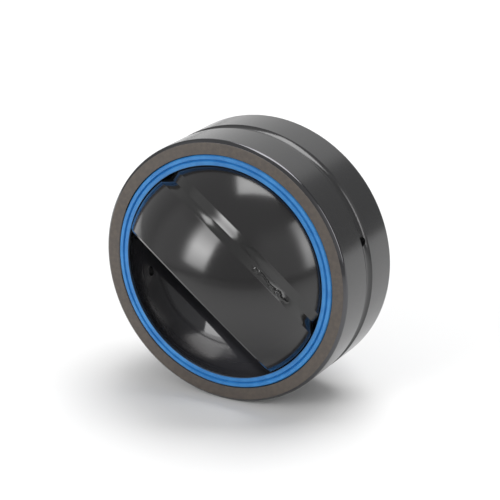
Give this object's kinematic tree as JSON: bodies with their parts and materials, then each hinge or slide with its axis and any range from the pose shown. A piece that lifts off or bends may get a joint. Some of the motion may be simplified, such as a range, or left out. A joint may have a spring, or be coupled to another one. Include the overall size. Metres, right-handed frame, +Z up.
{
  "type": "spherical plain bearing",
  "caption": "Spherical plain bearing: a ball-shaped inner ring with a plain bore turns in the concave seat of a grooved outer ring, with a lip seal round the ball at each side.",
  "frame": {"origin": "centre of the ball, halfway along the outer ring", "axes": "+Y along the outer ring's axis from front to rear, +Z up, +X to the right seen from the front"},
  "size_m": [0.068, 0.0598, 0.068],
  "materials": {
    "outer_steel": "dark phosphated steel, satin outside and matt end faces",
    "ball_steel": "dark, smooth and oiled, with a mirror-like sliding surface",
    "seal_rubber": "blue, smooth, slightly glossy"
  },
  "bodies": {
    "outer": {"outer_ring": "outer_steel", "front_seal": "seal_rubber", "rear_seal": "seal_rubber"},
    "inner": {"inner_ring": "ball_steel"}
  },
  "joints": [
    {"name": "ball_tilt", "type": "hinge", "parent": "outer", "child": "inner", "pos_m": [0, 0, 0], "axis": [-0.7934, 0, 0.6088], "continuous": true}
  ]
}
